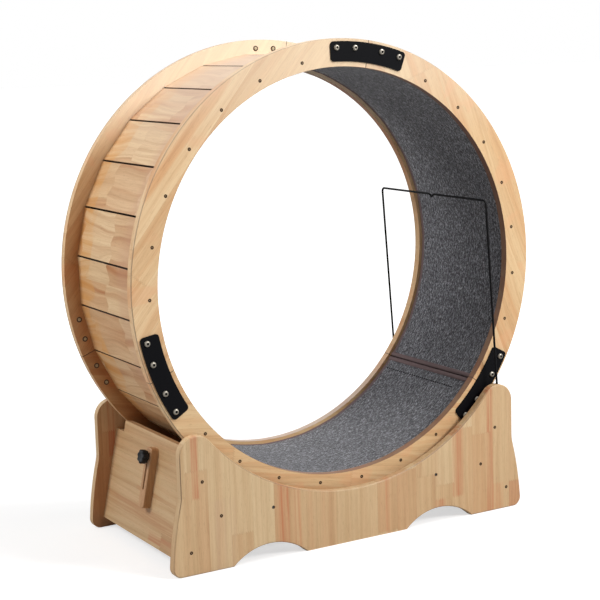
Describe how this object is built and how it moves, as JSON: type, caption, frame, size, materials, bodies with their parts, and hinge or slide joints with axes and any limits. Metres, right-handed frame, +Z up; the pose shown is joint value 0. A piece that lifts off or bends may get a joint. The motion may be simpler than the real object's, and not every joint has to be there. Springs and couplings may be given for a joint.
{
  "type": "cat exercise wheel",
  "caption": "Carpeted wooden drum of two segmented rings joined by slats, turning on roller shafts between two side panels, with a sliding brake block and a wire bail over the track.",
  "frame": {"origin": "on the floor under the middle of the wheel", "axes": "+X along the base towards the bail's end, -Y towards the front panel, +Z up"},
  "size_m": [1, 0.437, 1.088],
  "materials": {
    "ring_wood": "satin clear-oiled rubberwood board",
    "slat_wood": "satin clear-oiled rubberwood slat",
    "panel_wood": "satin clear-oiled glued rubberwood",
    "board_wood": "satin clear-oiled glued rubberwood",
    "dowel_wood": "plain turned wood",
    "stopper_wood": "satin clear-oiled rubberwood",
    "black_plastic": "moulded matte black",
    "zinc_steel": "zinc-plated steel",
    "black_steel": "black powder coat",
    "black_wire": "black coated wire",
    "roller_nylon": "turned nylon on a steel rod",
    "carpet": "short looped grey heather pile"
  },
  "bodies": {
    "base": {"panel_front": "panel_wood", "panel_back": "panel_wood", "end_board_left": "board_wood", "end_board_right": "board_wood", "cross_brace_left": "dowel_wood", "cross_brace_right": "dowel_wood", "brake_stud": "zinc_steel"},
    "wheel": {"join_plate_back_1": "black_steel", "join_plate_back_2": "black_steel", "join_plate_back_3": "black_steel", "join_plate_front_1": "black_steel", "join_plate_front_2": "black_steel", "join_plate_front_3": "black_steel", "ring_back_1": "ring_wood", "ring_back_2": "ring_wood", "ring_back_3": "ring_wood", "ring_front_1": "ring_wood", "ring_front_2": "ring_wood", "ring_front_3": "ring_wood", "slat_01": "slat_wood", "slat_02": "slat_wood", "slat_03": "slat_wood", "slat_04": "slat_wood", "slat_05": "slat_wood", "slat_06": "slat_wood", "slat_07": "slat_wood", "slat_08": "slat_wood", "slat_09": "slat_wood", "slat_10": "slat_wood", "slat_11": "slat_wood", "slat_12": "slat_wood", "slat_13": "slat_wood", "slat_14": "slat_wood", "slat_15": "slat_wood", "slat_16": "slat_wood", "slat_17": "slat_wood", "slat_18": "slat_wood", "slat_19": "slat_wood", "slat_20": "slat_wood", "slat_21": "slat_wood", "slat_22": "slat_wood", "slat_23": "slat_wood", "slat_24": "slat_wood", "slat_25": "slat_wood", "slat_26": "slat_wood", "slat_27": "slat_wood", "carpet": "carpet", "plate_bolts": "zinc_steel", "plate_nuts": "zinc_steel"},
    "shaft_left": {"roller_shaft_left": "roller_nylon"},
    "shaft_right": {"roller_shaft_right": "roller_nylon"},
    "stopper": {"brake_stopper": "stopper_wood"},
    "knob": {"brake_knob": "black_plastic"},
    "bail": {"teaser_bail": "black_wire"}
  },
  "joints": [
    {"name": "wheel_spin", "type": "hinge", "parent": "base", "child": "wheel", "pos_m": [0, 0, 0.588], "axis": [0, 1, 0], "continuous": true},
    {"name": "shaft_left_spin", "type": "hinge", "parent": "base", "child": "shaft_left", "pos_m": [-0.21038, 0, 0.11213], "axis": [0, 1, 0], "continuous": true},
    {"name": "shaft_right_spin", "type": "hinge", "parent": "base", "child": "shaft_right", "pos_m": [0.21038, 0, 0.11213], "axis": [0, 1, 0], "continuous": true},
    {"name": "brake_slide", "type": "slide", "parent": "base", "child": "stopper", "axis": [0.2101, 0, 0.9777], "range_m": [0, 0.0695]},
    {"name": "knob_turn", "type": "hinge", "parent": "base", "child": "knob", "pos_m": [-0.37504, -0.01, 0.20214], "axis": [-0.9777, 0, 0.2101], "range_deg": [0, 360]},
    {"name": "bail_lift", "type": "slide", "parent": "base", "child": "bail", "axis": [-0.0638, 0, 0.998], "range_m": [0, 0.085]}
  ],
  "couplings": [
    {"joint": "shaft_left_spin", "follows": "wheel_spin", "ratio": -25},
    {"joint": "shaft_right_spin", "follows": "wheel_spin", "ratio": -25}
  ]
}
